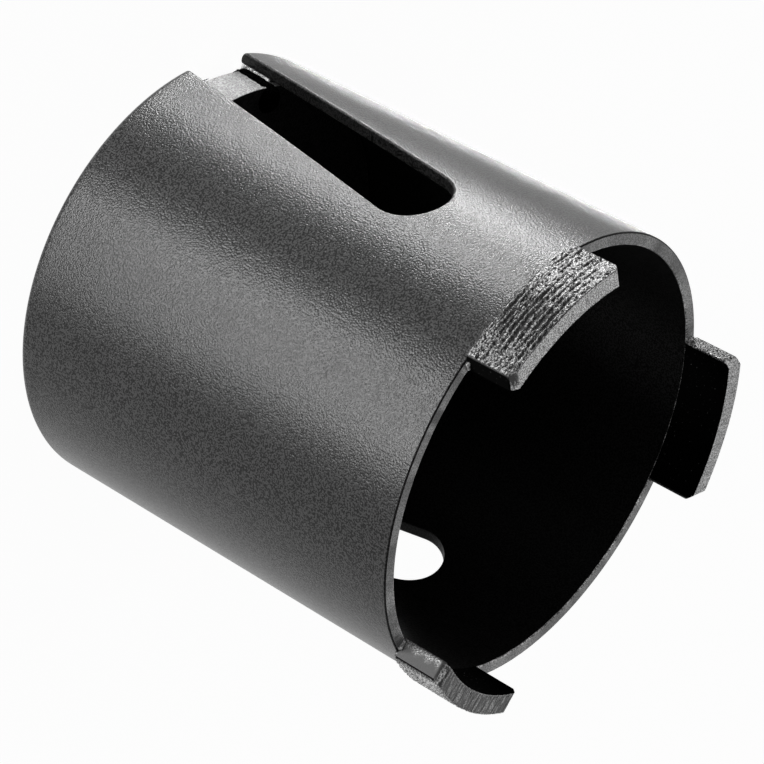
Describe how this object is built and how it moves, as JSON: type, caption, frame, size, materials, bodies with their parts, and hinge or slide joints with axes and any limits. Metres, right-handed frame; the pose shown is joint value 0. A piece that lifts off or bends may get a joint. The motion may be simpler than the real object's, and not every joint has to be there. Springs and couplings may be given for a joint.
{
  "type": "diamond core bit",
  "caption": "Dry-cutting diamond core bit: thin dark barrel with leaning dust slots, ribbed segments on its mouth and a threaded base plate.",
  "frame": {"origin": "on the tool axis, in the plane of the barrel's back rim, which the bit stands on", "axes": "+Z along the tool axis from the back rim to the cutting faces; the dust slots are centred on +X and -X"},
  "size_m": [0.0676, 0.0676, 0.0744],
  "materials": {
    "barrel_coat": "dark fine-grained powder coat, satin",
    "plate_coat": "dark powder coat, bare thread",
    "segment_sinter": "rough sintered metal, ribbed outside, with a ground cutting face"
  },
  "bodies": {
    "root": {"barrel": "barrel_coat", "base_plate": "plate_coat", "segment_1": "segment_sinter", "segment_2": "segment_sinter", "segment_3": "segment_sinter"}
  },
  "joints": []
}
